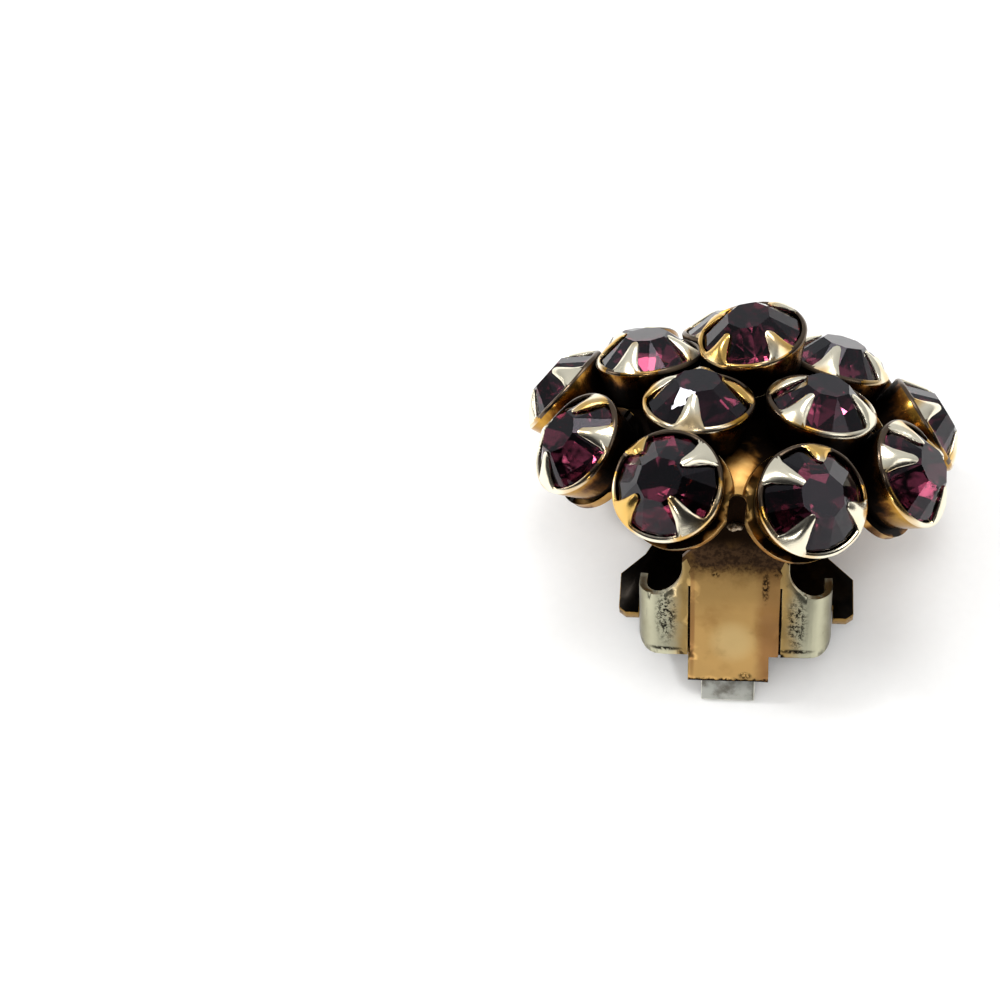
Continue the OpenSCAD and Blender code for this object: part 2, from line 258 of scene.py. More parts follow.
def new_material(name):
    """A material, its shader, and the function that adds nodes to it."""
    material = bpy.data.materials.new(name)
    material.use_nodes = True
    tree = material.node_tree
    print("material:", name)
    return material, tree.nodes["Principled BSDF"], partial(add_node, tree)


def polish(add, shader, dull, shine, matt, speck, depth_mm):
    """Makes a metal whose roughness goes from shiny to matt by a share, with a fine bump."""
    fill(shader, {"Metallic": 1.0, "Roughness": add("rescale", dull, shine, matt),
                  "Normal": add("bump", speck, 0.4, depth_mm * MM)})


# %% [markdown]
# ### The dim room
#
# The world is the room that reflections see: dark towards the front and low down, bright behind and above.
# The soft light on the paper is plain white instead, and a direct look sees the pale grey of the paper's
# far end.

# %% Room
DARK_FRONT, BRIGHT_BACK = (0.015, 0.015, 0.018, 1), (0.62, 0.64, 0.67, 1)
SOFT_WHITE, FAR_PAPER = (0.97, 0.97, 0.97, 1), (0.76, 0.76, 0.76, 1)
add = partial(add_node, world.node_tree)
direction = add("split", add("direction"))
height = add("times plus", direction["Z"], 0.55, 0.0)
lit = add("step", add("times plus", direction["Y"], 0.8, height), -0.15, 0.9)
ray = add("kind of ray")
glow = add("mix", lit, DARK_FRONT, BRIGHT_BACK)
glow = add("mix", ray["Is Diffuse Ray"], glow, SOFT_WHITE)
glow = add("mix", ray["Is Camera Ray"], glow, FAR_PAPER)
fill(world.node_tree.nodes["Background"], {"Color": glow})
print("room nodes:", len(world.node_tree.nodes))

# %% [markdown]
# ### Marks in known places
#
# Some marks sit in a known place on the clip. They need the clip's own axes, so a Mapping node turns the
# object's coordinates back upright and into millimetres. A spot is then an ellipse on the front of the
# clip, given by its middle (X across, Z up the strip), its half width and its half height.

# %% Clip axes and spots
def clip_axes(add):
    """Where a point is on the clip, in millimetres: X across, Y front to back, Z up the strip."""
    back = rest_pose.inverted()
    upright = add("mapped", add("object place"), back.to_euler(), back.translation, (1 / MM,) * 3)
    return add("split", upright)


def spot(add, axes, x, z, half_w, half_h):
    """1 at a place on the clip, fading to 0 at an ellipse's edge."""
    across = add("times plus", axes["X"], 1 / half_w, -x / half_w)
    along = add("times plus", axes["Z"], 1 / half_h, -z / half_h)
    spread = add("times plus", along, along, add("times plus", across, across, 0.0))
    return add("step", spread, 1.0, 0.0)


def strongest(add, first, *others):
    """The strongest of several marks at each point."""
    for other in others:
        first = add("larger", first, other)
    return first


def spots(add, axes, rows):
    """Several spots as one mark."""
    return strongest(add, *[spot(add, axes, *row) for row in rows])


# %% [markdown]
# ### Antique gold plate
#
# Gold-plated brass that has been worn. Raised edges are rubbed bright and nearly cream, open faces keep a
# satin gold, and the hollows hold a brown-black tarnish, which is also painted shade where the cups and the
# plate are closed in. Two values stored on the mesh drive it: "wear" marks rounded edges, and
# "grime_and_shade" says how closed in a point is. The cups and the plate share one recipe. Each has its own
# colours, and patches that are darker or, with a minus, lighter than the rest; the lighter ones lift the
# painted shade.

# %% Gold plate with tarnish and painted shade
WARM_EDGE, DARK_RIM = "E3B868", "5E5042"


def gold_plate(name, colours, tarnish_and_shade_from, tarnish_and_shade_to, shine, patches, bare_edges):
    """Worn gold plate. The colours are the open face, its deeper tone, rubbed edges, and tarnish that is also
    painted shade.
    """
    gold, deep, cream, tarnish_and_shade = colours
    material, shader, add = new_material(name)
    place, axes = add("object place"), clip_axes(add)
    cloud = add("noise", place, 1 / (1.9 * MM), 4.0, 0.55)
    speck = add("noise", place, 1 / (0.3 * MM), 3.0, 0.6)
    wide_cloud = add("noise", place, 1 / (4.0 * MM), 1.0, 0.55)
    # Closed-in places get darker here: real tarnish together with painted shade.
    dirt_and_shade = add("times plus", speck, 0.16, add("stored", attribute_name="grime_and_shade"))
    dirt_and_shade = add("times plus", cloud, 0.5, dirt_and_shade)
    # A patch with a minus lifts the painted shade there; one without adds darkness.
    for *where, extra_dirt_and_shade in patches:
        dirt_and_shade = add("times plus", spot(add, axes, *where), extra_dirt_and_shade, dirt_and_shade)
    dark = add("step", dirt_and_shade, tarnish_and_shade_from, tarnish_and_shade_to)
    amber = add("step", dirt_and_shade, tarnish_and_shade_from - 0.3, tarnish_and_shade_to - 0.12)
    wear = add("stored", attribute_name="wear")
    in_reach = add("step", dirt_and_shade, tarnish_and_shade_to + bare_edges, tarnish_and_shade_to + bare_edges - 0.5)
    rubbed = add("times", add("step", wear, 0.3, 0.9), in_reach)
    bright = add("mix", add("step", wide_cloud, 0.5, 0.62), cream, WARM_EDGE)
    face = add("mix", dark, add("mix", amber, gold, deep), tarnish_and_shade)
    dark_rim = add("step", wear, -0.02, -0.3)
    fill(shader, {"Base Color": add("mix", dark_rim, add("mix", rubbed, face, bright), DARK_RIM)})
    polish(add, shader, dark, shine, 0.55, speck, 0.012)
    return material


# The cups' patch lifts the painted shade off the cup walls above the strip.
cup_gold = gold_plate("worn_gold_plated_brass_cups", ("C9993F", "6E431A", "F4EBD2", "120B07"),
                      tarnish_and_shade_from=0.5, tarnish_and_shade_to=0.78, shine=0.2, bare_edges=0.5,
                      patches=[(0.0, -6.4, 6.5, 2.8, -0.3)])
# The plate's first patch lifts the painted shade round the front notch, a painted lit patch; the second
# darkens its left side.
plate_gold = gold_plate("antique_gold_plated_brass_plate", ("C39A5A", "8A5C28", "EAD9AE", "150D08"),
                        tarnish_and_shade_from=0.55, tarnish_and_shade_to=0.9, shine=0.34, bare_edges=0.9,
                        patches=[(0.0, -4.9, 2.2, 3.4, -0.62), (-0.9, -4.6, 0.7, 1.2, 0.35)])

# %% [markdown]
# ### The strip
#
# The strip is the same plated brass as the plate, but it was soldered, so its upper end is burnt
# brown-black with a speckled border, and stains run down from it. Painted shade darkens its top under the
# plate, its upper half towards the cups, its hollows and a line along its foot above the spring. Its middle
# has a pale painted highlight, and one side has gone orange-brown. The heights along the strip are
# millimetres on the clip's own axes, with a little noise added for a ragged edge.

# %% Strip: burnt end, stains, painted shade and a painted highlight
STAINS = ((-1.04, -8.75, 0.3, 0.3), (1.64, -9.5, 0.26, 1.2),
          (0.63, -15.05, 0.45, 0.3), (2.3, -8.6, 0.35, 0.4))
# The pale spot in the strip's middle is a painted highlight.
MIDDLE_PAINTED_HIGHLIGHT, LEFT_EDGE = (-0.1, -12.9, 1.5, 1.5), (-2.3, -11.5, 0.2, 5.0)
BURNT_END, SCORCHED_END = (-7.4, -6.6), (-8.8, -6.6)
# Painted shade at the top under the plate, and a painted shadow line along the foot above the spring.
SHADED_END, FOOT_SHADOW_LINE = (-7.3, -6.3), (-14.95, -15.1)
strip_gold, shader, add = new_material("satin_gold_plated_brass_strip")
place, axes = add("object place"), clip_axes(add)
cloud = add("noise", place, 1 / (1.5 * MM), 4.0, 0.55)
speck = add("noise", place, 1 / (0.22 * MM), 4.0, 0.7)
ragged = add("times plus", cloud, 1.6, axes["Z"])
burnt = add("step", add("times plus", speck, 1.2, ragged), *BURNT_END)
burnt = add("times", burnt, add("step", cloud, 0.2, 0.52))
scorched = add("step", add("times plus", speck, 0.6, ragged), *SCORCHED_END)
shaded = add("step", add("times plus", cloud, 0.5, axes["Z"]), *SHADED_END)
# Painted shadow line along the foot, where the strip meets the spring.
foot = add("step", add("times plus", speck, 0.5, axes["Z"]), *FOOT_SHADOW_LINE)
stains = add("times", spots(add, axes, STAINS), add("step", speck, 0.42, 0.56))
# Painted shade where the strip is closed in, broken by speckle.
closed_in = add("step", add("times plus", speck, 0.4, add("stored", attribute_name="grime_and_shade")), 0.85, 1.05)
dark = strongest(add, shaded, stains, foot, closed_in)
right_side = add("step", add("times plus", cloud, 0.6, axes["X"]), 1.2, 2.0)
brown_sides = strongest(add, right_side, spot(add, axes, *LEFT_EDGE))
print("strip nodes:", len(shader.id_data.nodes))

# %% [markdown]
# The colours go on in layers, as a painter would glaze them: the satin gold first, then its browner sides,
# a painted shade over the upper half, the painted highlight in the middle, the clouds, and last the scorched
# and burnt end. The near-black of the stains, the painted shade at the top and in the hollows, and the
# painted shadow along the foot go over all of them.

# %% Strip: colours
tone = add("mix", brown_sides, "D9AE6C", "B08150")
# First layer: painted shade, darker towards the cups at the top. Second: the painted highlight in the middle.
for share, strength, colour in ((add("step", axes["Z"], -12.8, -9.5), 0.55, "A07F4C"),
                                (spot(add, axes, *MIDDLE_PAINTED_HIGHLIGHT), 0.6, "F2D596"),
                                (add("step", cloud, 0.5, 0.8), 0.5, "A87940"),
                                (scorched, 0.9, "4E3418")):
    tone = add("mix", add("times", share, strength), tone, colour)
ash = add("mix", add("step", speck, 0.42, 0.6), "503B29", "34251A")
tone = add("mix", burnt, tone, ash)
fill(shader, {"Base Color": add("mix", dark, tone, "1D120A")})
polish(add, shader, dark, 0.36, 0.6, speck, 0.01)
print("strip nodes:", len(shader.id_data.nodes))

# %% [markdown]
# ### The ears and the solder
#
# On the two ears the gold has worn through to pale, greenish white metal, with black pits in a patch of
# each and a black line along the foot. Some gold is left beside the strip. Painted shade turns the outer
# bend grey-brown and darkens the hollows.

# %% Ears
PIT_PATCHES = ((-3.7, -11.4, 0.75, 2.1), (3.35, -11.6, 0.7, 2.2))
EAR_FEET = ((-3.75, -13.45, 1.1, 0.16), (3.3, -13.4, 1.2, 0.18))
ear_silver, shader, add = new_material("worn_silvery_brass_ears")
place, axes = add("object place"), clip_axes(add)
cloud = add("noise", place, 1 / (1.2 * MM), 4.0, 0.55)
speck = add("noise", place, 1 / (0.2 * MM), 4.0, 0.75)
pits = add("times", spots(add, axes, PIT_PATCHES), add("step", speck, 0.47, 0.56))
foot = add("times", spots(add, axes, EAR_FEET), add("step", speck, 0.36, 0.5))
# Painted shade in the closed-in hollows of the curl, broken by a cloud.
hollow = add("step", add("times plus", cloud, 0.35, add("stored", attribute_name="grime_and_shade")), 0.55, 0.85)
dark = strongest(add, pits, foot, hollow)
off_middle = add("without sign", axes["X"])
gold_left = add("step", add("times plus", cloud, 1.0, off_middle), 4.3, 3.1)
# Painted shade: the outer bend, curving away from the light, is darker.
outer_bend_shade = add("step", add("times plus", cloud, 0.6, off_middle), 4.7, 5.6)
tone = add("mix", gold_left, "C0BDA2", "B8985F")
tone = add("mix", add("times", add("stored", attribute_name="wear"), 0.7), tone, "DCD5B2")
tone = add("mix", add("times", outer_bend_shade, 0.75), tone, "5C553E")
fill(shader, {"Base Color": add("mix", dark, tone, "17110C")})
polish(add, shader, dark, 0.3, 0.6, speck, 0.02)

# %% [markdown]
# Soft solder cools to a dull grey skin with a fine grain, and flux leaves brown in its hollows.

# %% Solder
solder, shader, add = new_material("dull_tin_solder")
speck = add("noise", add("object place"), 1 / (0.15 * MM), 4.0, 0.7)
fill(shader, {"Base Color": add("mix", add("step", speck, 0.4, 0.6), "6E5A44", "C9B9A2")})
polish(add, shader, speck, 0.35, 0.6, speck, 0.02)

# %% [markdown]
# ### Foiled glass
#
# The stones are pressed and polished glass, coloured like a very dark amethyst. Their backs carry a thin
# metal foil, which throws light back through the facets as pink glints. The glass is a clear transmissive
# shader with a plum tint. The foil has dulled on some of the back's facets, so each facet carries its own
# share of brightness.

# %% Glass and foil
glass, shader, add = new_material("polished_amethyst_glass")
waviness = add("noise", add("object place"), 1 / (0.9 * MM), 1.0, 0.55)
fill(shader, {"Base Color": "8A5068", "Transmission Weight": 1.0, "IOR": 1.55, "Roughness": 0.0,
              "Specular Tint": (0.55, 0.52, 0.58, 1), "Normal": add("bump", waviness, 0.3, 0.02 * MM)})

foil, shader, add = new_material("silvered_foil_back")
unworn = add("step", add("noise", add("object place"), 1 / (1.1 * MM), 2.0, 0.55), 0.36, 0.52)
bright = add("times", add("stored", attribute_name="wear"), unworn)
fill(shader, {"Base Color": add("mix", bright, "1A1016", "FFC4CE"), "Metallic": 1.0, "Roughness": 0.06})

# %% [markdown]
# ### Steel of the clip
#
# The pin and the flat spring are plain rolled steel, and the paddle is plated brass coloured nearly black
# as painted shade for the dark under the dome, with the yellow metal bare along its edges. One recipe gives
# all three: a face and a darker cloud on it, and edges that are rubbed bare.

# %% Steel, and a paddle painted near-black as shade
def worn_metal(name, face, dark_cloud, bare_edge, shine):
    """A metal with a darker cloud on its face and edges that are rubbed bare."""
    material, shader, add = new_material(name)
    place = add("object place")
    cloud = add("noise", place, 1 / (1.6 * MM), 5.0, 0.6)
    speck = add("noise", place, 1 / (0.25 * MM), 3.0, 0.6)
    body = add("mix", add("step", cloud, 0.4, 0.62), face, dark_cloud)
    edge = add("step", add("stored", attribute_name="wear"), 0.3, 0.9)
    rubbed = add("times", edge, add("step", speck, 0.3, 0.5))
    fill(shader, {"Base Color": add("mix", rubbed, body, bare_edge)})
    polish(add, shader, cloud, shine, shine + 0.25, speck, 0.01)
    return material


spring_steel = worn_metal("rolled_spring_steel", "B4B5AE", "77746B", "DDDBD0", 0.28)
pin_steel = worn_metal("drawn_steel_pin", "9C9A94", "5C574F", "C9C6BC", 0.3)
# The paddle's near-black face and cloud are painted shade.
paddle_plate = worn_metal("plated_brass_paddle_in_painted_shade", "1C1916", "0E0C0A", "A88447", 0.22)

# %% [markdown]
# ## Modelling helpers
#
# Every piece is shaped in millimetres and scaled to metres at the very end, because the tools that merge or
# bevel work best on numbers near one. A bevel's own faces are marked, so that the material knows where an
# edge is.

# %% Helpers for pieces: edges and surface
def sharp_edges(bm, degrees):
    """The edges where two faces meet at more than some degrees."""
    limit = math.radians(degrees)
    return [e for e in bm.edges if len(e.link_faces) == 2 and e.calc_face_angle(0) > limit]


def with_room(edges, width):
    """The edges that a bevel of a given width fits on, because one short edge nearby would thin them all."""
    shortest = 2 * width
    return [e for e in edges if all(near.calc_length() > shortest for v in e.verts for near in v.link_edges)]


def soften_edges(bm, edges, width):
    """Bevels edges and marks the new faces as worn."""
    worn = bm.faces.layers.float.get("worn") or bm.faces.layers.float.new("worn")
    made = bmesh.ops.bevel(bm, geom=edges, offset=width, offset_type="OFFSET", segments=2, profile=0.5,
                           affect="EDGES", clamp_overlap=True, material=-1)
    for face in made["faces"]:
        face[worn] = 1.0


def split_long_edges(bm, length, most_rounds=7):
    """Halves long edges until none is longer than a given length."""
    for _ in range(most_rounds):
        long_ones = [e for e in bm.edges if e.calc_length() > length]
        if not long_ones:
            break
        bmesh.ops.subdivide_edges(bm, edges=long_ones, cuts=1, use_grid_fill=True)
        bmesh.ops.triangulate(bm, faces=[f for f in bm.faces if len(f.verts) > 4])


def dent(bm, depth, size, seed):
    """Moves the surface in and out a little, as hand work and handling do."""
    bm.normal_update()
    for v in bm.verts:
        v.co += v.normal * depth * noise.noise(v.co / size + Vector((seed, seed, 0)))


# %% [markdown]
# A finished bmesh becomes a mesh object that rides on a body of the imported part, so that it moves with it.
# It can stand in for imported solids.

# %% Helpers for pieces: from millimetres to a piece
SMOOTH_BELOW = 38


def finished(bm, name, materials, body, stands_for=()):
    """Turns a bmesh in millimetres into a piece in metres that rides on a body."""
    worn = bm.faces.layers.float.get("worn")
    mesh = bpy.data.meshes.new(name)
    marks = [face[worn] if worn else 0.0 for face in bm.faces]
    bmesh.ops.scale(bm, vec=(MM, MM, MM), verts=bm.verts)
    bm.to_mesh(mesh)
    bm.free()
    mesh.attributes.new("wear", "FLOAT", "FACE").data.foreach_set("value", marks)
    mesh.polygons.foreach_set("use_smooth", [True] * len(mesh.polygons))
    mesh.set_sharp_from_angle(angle=math.radians(SMOOTH_BELOW))
    piece = bpy.data.objects.new(name, mesh)
    bpy.context.scene.collection.objects.link(piece)
    for material in materials:
        mesh.materials.append(material)
    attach(piece, body)
    if stands_for:
        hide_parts(*stands_for)
    print(name, "faces", len(mesh.polygons))
    return piece


def merged_copy(node, distance):
    """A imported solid's mesh in millimetres, with its loose triangles merged."""
    bm = bmesh.new()
    bm.from_mesh(nodes[node].data)
    bmesh.ops.scale(bm, vec=(1 / MM, 1 / MM, 1 / MM), verts=bm.verts)
    bmesh.ops.remove_doubles(bm, verts=bm.verts, dist=distance)
    return bm


# %% [markdown]
# ## The prong cups
#
# A cup is pressed from sheet: a tapered wall, a rounded shoulder, and four pointed prongs that fold over
# the stone. Cutting the prongs out of a solid would leave ragged edges. Here one closed section is spun all
# round first, and then the part of it that lies over the stone is slid in or out: it runs to the tip in the
# middle of a prong and stops at the rim between prongs. The sheet's edge stays rounded all the way.

# %% The cup's section
GIRDLE_R = STONE_D / 2
TABLE_R = GIRDLE_R * TABLE_SHARE
crown_slope = math.atan(CROWN_H / (GIRDLE_R - TABLE_R))
SHOULDER_R, SHOULDER_DROP, FLOOR_T, FLOOR_RING_R = 0.26, 0.08, 0.25, 1.6
PRONG_THINNING, WALL_STEPS, SHOULDER_STEPS, OVER_STEPS, UNDER_STEPS = 0.55, 4, 5, 6, 4
EDGE_TURNS = (0.8, 1.57, 2.35)
CROWN_X = CUP_D / 2 - SHOULDER_R + SHOULDER_R * math.sin(crown_slope)
CROWN_Z = SHOULDER_R * math.cos(crown_slope) - SHOULDER_DROP

# How far the sheet runs over the stone (0 at the shoulder, 1 at its edge), how deep in the sheet, and how
# far past its edge
over_rows = [(u / OVER_STEPS, 0, 0) for u in range(1, OVER_STEPS + 1)]
over_rows += [(1, CUP_WALL * (1 - math.cos(a)) / 2, CUP_WALL * math.sin(a) / 2) for a in EDGE_TURNS]
over_rows += [(u / UNDER_STEPS, CUP_WALL, 0) for u in range(UNDER_STEPS, -1, -1)]


def over_stone(row, edge_r, rise=0.0):
    """A point of the sheet over the stone, when its edge is at a radius. A prong thins towards its tip."""
    u, depth, past = row
    reach = (CROWN_X - edge_r) / (CROWN_X - PRONG_TIP_R)
    depth = CUP_WALL - (CUP_WALL - depth) * (1 - PRONG_THINNING * reach * u ** 2)
    r = CROWN_X + (edge_r - CROWN_X) * u - past * math.cos(crown_slope)
    z = CROWN_Z + (CROWN_X - r) * math.tan(crown_slope) + rise
    return r - depth * math.sin(crown_slope), z - depth * math.cos(crown_slope)


def cup_section():
    """The closed outline that is spun: floor, wall, shoulder, the sheet over the stone, and back down."""
    base_r, rim_r = CUP_BASE_D / 2, CUP_D / 2
    points = [(0, -CUP_H), (FLOOR_RING_R, -CUP_H), (base_r, -CUP_H)]
    for k in range(1, WALL_STEPS):
        share = k / WALL_STEPS
        points.append((base_r + (rim_r - base_r) * share, -CUP_H + (CUP_H - SHOULDER_DROP) * share))
    for k in range(SHOULDER_STEPS + 1):
        a = (math.pi / 2 - crown_slope) * k / SHOULDER_STEPS
        points.append((rim_r - SHOULDER_R * (1 - math.cos(a)), SHOULDER_R * math.sin(a) - SHOULDER_DROP))
    points += [over_stone(row, PRONG_TIP_R) for row in over_rows]
    return points + [(base_r - CUP_WALL, -CUP_H + FLOOR_T), (0, -CUP_H + FLOOR_T)]


print("section points:", len(cup_section()))

# %% [markdown]
# Seen from above, a prong is a little wave of sheet: a round tip, a slim middle and a root that flares into
# the rim. Its middle arches up over the stone, because the sheet was pushed down at the tip alone.

# %% A prong's outline
RIM_R = CUP_D / 2 - 0.12
TIP_HALF_W, TIP_ROUND, SIDE_FLARE, ROOT_FLARE = 0.02, 0.22, 0.4, 0.3
TIP_BLUNTNESS, PRONG_RISE, ARCH_START, ARCH_FULLNESS = 9, 0.15, 0.05, 0.6
EDGE_STEP, PRONG_HALF_TURN = 0.02, 1


def prong_half_width(x, tip):
    """Half of a prong's width at a distance from the cup's axis."""
    share = min(max((x - tip) / (RIM_R - tip), 0), 1)
    tip_half_width = TIP_HALF_W + TIP_ROUND * math.sqrt(min(share * TIP_BLUNTNESS, 1))
    return tip_half_width + SIDE_FLARE * share + ROOT_FLARE * share ** 4


def edge_radius(offset, tip):
    """Where the sheet's edge is, at an angle from the middle of a prong."""
    r = RIM_R
    while r > tip and r * math.sin(offset) < prong_half_width(r * math.cos(offset), tip):
        r -= EDGE_STEP
    return r


def prong_arch(r, offset, tip, u):
    """0 at the sides, tip and root of a prong, and 1 along its back."""
    half = prong_half_width(r * math.cos(offset), tip)
    across = max(0, 1 - (r * math.sin(offset) / half) ** 2)
    return across * math.sin(math.pi * min(u + ARCH_START, 1)) ** ARCH_FULLNESS


def shape_prongs(bm, prongs):
    """Slides each point of the sheet over the stone to where the nearest prong or the rim has it."""
    row_at = {tuple(round(v, 3) for v in over_stone(row, PRONG_TIP_R)): row for row in over_rows}
    for v in bm.verts:
        row = row_at.get((round(v.co.to_2d().length, 3), round(v.co.z, 3)))
        if not row:
            continue
        around = math.degrees(math.atan2(v.co.y, v.co.x))
        offset, tip = min((abs((around - angle + 180) % 360 - 180), tip) for angle, tip in prongs)
        offset = math.radians(offset)
        edge = edge_radius(offset, tip) if offset < PRONG_HALF_TURN else RIM_R
        arch = prong_arch(over_stone(row, edge)[0], offset, tip, row[0])
        r, z = over_stone(row, edge, PRONG_RISE * arch if edge < RIM_R else 0)
        flat = v.co.to_2d().normalized() * r
        v.co = (flat.x, flat.y, z)


print("prong width at the rim:", round(2 * prong_half_width(RIM_R, PRONG_TIP_R), 2), "mm")

# %% [markdown]
# Prongs are rubbed bright by hands and clothes. A rim is brighter on its downhill side and darker elsewhere:
# where its value drops below zero, the gold plate's material turns it grey-brown. Noise makes the change from
# one to the other patchy.

# %% One cup, and all of them in their places
SPIN_STEPS, OVER_THE_RIM, PATCH_SIZE = 112, 0.19, 1.3
DOWNHILL_WEAR, PATCHY_WEAR, LEAST_WEAR, DULLED = 1.2, 0.6, 0.3, 0.6


def mark_wear(bm, seed):
    """Stores how worn each face of a cup is, before the cup goes to its place."""
    worn = bm.faces.layers.float["worn"]
    for face in bm.faces:
        middle = face.calc_center_median()
        patchy = noise.noise(middle / PATCH_SIZE + Vector((0, seed, 0)))
        rim_wear = LEAST_WEAR + DOWNHILL_WEAR * middle.x / CUP_D + PATCHY_WEAR * patchy
        if rim_wear <= LEAST_WEAR:
            rim_wear -= DULLED
        face[worn] = 1.0 if middle.z > OVER_THE_RIM else rim_wear if middle.z > -SHOULDER_DROP else 0.0


def make_cup(prongs, seed):
    """One cup, upright at the origin. Each prong is an angle and the radius of its tip."""
    bm = bmesh.new()
    bm.faces.layers.float.new("worn")
    line = [bm.verts.new((x, 0, z)) for x, z in cup_section()]
    edges = [bm.edges.new(pair) for pair in zip(line, line[1:])]
    bmesh.ops.spin(bm, geom=line + edges, cent=(0, 0, 0), axis=(0, 0, 1), angle=math.tau, steps=SPIN_STEPS,
                   use_merge=True)
    bmesh.ops.remove_doubles(bm, verts=bm.verts, dist=1e-4)
    bmesh.ops.recalc_face_normals(bm, faces=bm.faces)
    shape_prongs(bm, prongs)
    mark_wear(bm, seed)
    dent(bm, depth=0.05, size=1.3, seed=seed)
    return bm


cups = bmesh.new()
cups.faces.layers.float.new("worn")
for number, (name, place) in enumerate(places.items()):
    one = make_cup(list(zip(prong_angles[name], prong_tips[name])), seed=7.3 * number)
    one.transform(place)
    one_mesh = bpy.data.meshes.new("one_cup")
    one.to_mesh(one_mesh)
    one.free()
    cups.from_mesh(one_mesh)
    bpy.data.meshes.remove(one_mesh)
print("cup faces:", len(cups.faces))

# %% [markdown]
# ## Plate, strip and ears
#
# The stamped plate, its notches and the clip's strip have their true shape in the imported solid. A copy of
# that solid is merged, the faces of its plain cups are taken out, because the new cups stand there, and its
# edges are rounded, as shears and polishing leave them. Only the flat ring of plate round each cup's base
# has to stay.

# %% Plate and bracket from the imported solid
LOBE_SINK, ON_LOBE, BESIDE_CUP, BELOW_CUP, ABOVE_CUP = 0.05, 0.01, 0.03, 0.02, 2
EDGE_FROM, EDGE_ROUND, FLAT_WITHIN, LONGEST_EDGE = 30, 0.06, 1.5, 0.6
body = merged_copy("setting", distance=0.002)
into_cup = [place.inverted() for place in places.values()]


def is_plain_cup(face):
    """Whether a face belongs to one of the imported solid's own cups."""
    for inward in into_cup:
        local = [inward @ v.co for v in face.verts]
        on_lobe = all(abs(p.z + CUP_H - LOBE_SINK) < ON_LOBE for p in local)
        beside = all(p.to_2d().length < CUP_D / 2 + BESIDE_CUP for p in local)
        level = all(-CUP_H - BELOW_CUP < p.z < ABOVE_CUP for p in local)
        if beside and level and not on_lobe:
            return True
    return False


bmesh.ops.delete(body, geom=[f for f in body.faces if is_plain_cup(f)], context="FACES")
bmesh.ops.dissolve_limit(body, angle_limit=math.radians(FLAT_WITHIN), verts=body.verts, edges=body.edges)
soften_edges(body, with_room(sharp_edges(body, EDGE_FROM), EDGE_ROUND), EDGE_ROUND)
bmesh.ops.triangulate(body, faces=body.faces)
split_long_edges(body, LONGEST_EDGE)
dent(body, depth=0.04, size=1.8, seed=3.1)
print("plate and bracket faces:", len(body.faces))

# %% [markdown]
# A small run of solder lies on the strip and shows through the front notch. It is a flattened ball with an
# uneven skin.

# %% Solder run
# The order of the soldered piece's materials
PLATE, STRIP, EAR, SOLDER = range(4)

LUMP_PLACE, LUMP_SIZE, LUMP_DENTS, LUMP_GRAIN = (-0.07, -7.55, -5.8), (0.45, 0.4, 0.22), 0.12, 4
lump_pose = rest_pose @ move(*LUMP_PLACE) @ Matrix.Diagonal((*LUMP_SIZE, 1))
lump = bmesh.ops.create_icosphere(body, subdivisions=3, radius=1)["verts"]
bmesh.ops.transform(body, matrix=lump_pose, verts=lump)
for v in lump:
    v.co += v.normal * LUMP_DENTS * noise.noise(v.co * LUMP_GRAIN)
for face in {f for v in lump for f in v.link_faces}:
    face.material_index = SOLDER
print("with the solder:", len(body.faces))

# %% [markdown]
# ### Where dirt and painted shade collect
#
# Tarnish is rubbed off wherever a finger or cloth reaches and stays where it can't, and the materials paint
# shade into the same closed-in places. Short rays from each point, spread over the half sphere above it, say
# how closed in it is. The share that is stopped becomes "grime_and_shade". Turning by the golden angle from
# ray to ray spreads them evenly.

# %% Grime and painted shade from short rays
SHADE_AND_DIRT_REACH, RAY_LIFT, RAY_COUNT, GOLDEN_ANGLE = 2.4, 0.03, 20, 2.399963
ray_fan = []
for k in range(RAY_COUNT):
    height = 1 - (k + 0.5) / RAY_COUNT
    flat = math.sqrt(1 - height * height)
    ray_fan.append(Vector((flat * math.cos(k * GOLDEN_ANGLE), flat * math.sin(k * GOLDEN_ANGLE), height)))


def tree_of(meshes):
    """Several meshes as one tree that a ray can hit."""
    corners, faces = [], []
    for bm in meshes:
        start = len(corners)
        bm.verts.index_update()
        corners += [v.co.copy() for v in bm.verts]
        faces += [[v.index + start for v in f.verts] for f in bm.faces]
    return BVHTree.FromPolygons(corners, faces)


def grime_and_shade_of(bm, blockers):
    """For each point, the share of its rays that something stops."""
    bm.normal_update()
    values = []
    for v in bm.verts:
        up = v.normal.to_track_quat("Z", "Y")
        start = v.co + v.normal * RAY_LIFT
        stopped = sum(blockers.ray_cast(start, up @ ray, SHADE_AND_DIRT_REACH)[0] is not None for ray in ray_fan)
        values.append(stopped / RAY_COUNT)
    return values


blockers = tree_of([cups, body])
cup_grime_and_shade = grime_and_shade_of(cups, blockers)
body_grime_and_shade = grime_and_shade_of(body, blockers)
print("mean grime:", round(sum(cup_grime_and_shade) / len(cup_grime_and_shade), 2), round(sum(body_grime_and_shade) / len(body_grime_and_shade), 2))

# %% [markdown]
# The plate, the strip and the ears are one soldered piece, but each has its own finish. Where a face lies
# on the clip's own axes tells which of them it belongs to: the strip is a thin upright slab, and the ears
# start below a certain height, beside the strip and behind it.

